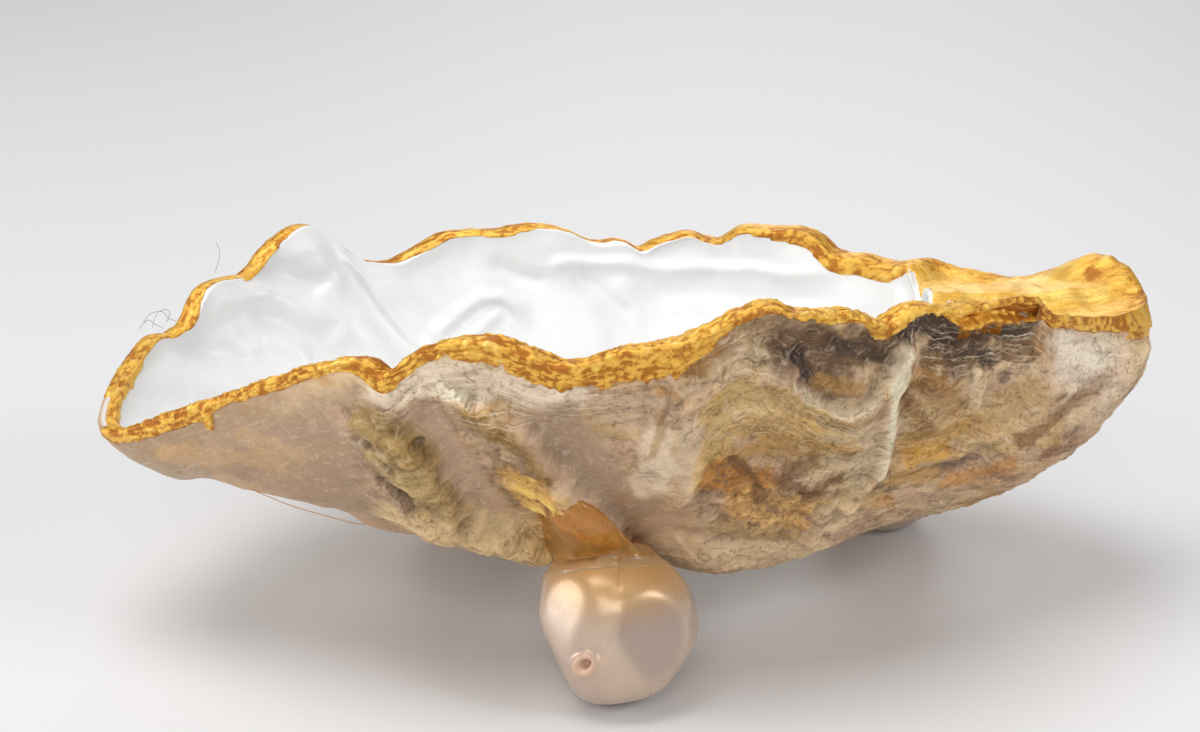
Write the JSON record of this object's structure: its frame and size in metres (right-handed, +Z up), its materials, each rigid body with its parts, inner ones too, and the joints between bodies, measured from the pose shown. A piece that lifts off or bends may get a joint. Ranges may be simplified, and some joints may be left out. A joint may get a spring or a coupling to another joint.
{
  "type": "oyster shell trinket dish",
  "caption": "Cupped oyster shell half with a white painted hollow and a gold painted rim, standing on baroque pearl feet, for rings and small things.",
  "frame": {"origin": "on the surface the dish stands on, under the middle of its box", "axes": "+X towards the thick hinge end, -X towards the thin lip, -Y the front with the single pearl foot, +Z up"},
  "size_m": [0.1009, 0.0536, 0.0397],
  "materials": {
    "oyster_shell": "chalky natural outside, pearly white painted hollow, metallic gold painted rim and hinge shelf",
    "pearl": "satin nacre with a soft pinkish lustre",
    "amber_glue": "clear amber glue, glossy"
  },
  "bodies": {
    "root": {"shell": "oyster_shell", "front_pearl_foot": "pearl", "rear_left_pearl_foot": "pearl", "rear_right_pearl_foot": "pearl", "front_glue_pad": "amber_glue", "rear_left_glue_pad": "amber_glue", "rear_right_glue_pad": "amber_glue"}
  },
  "joints": []
}
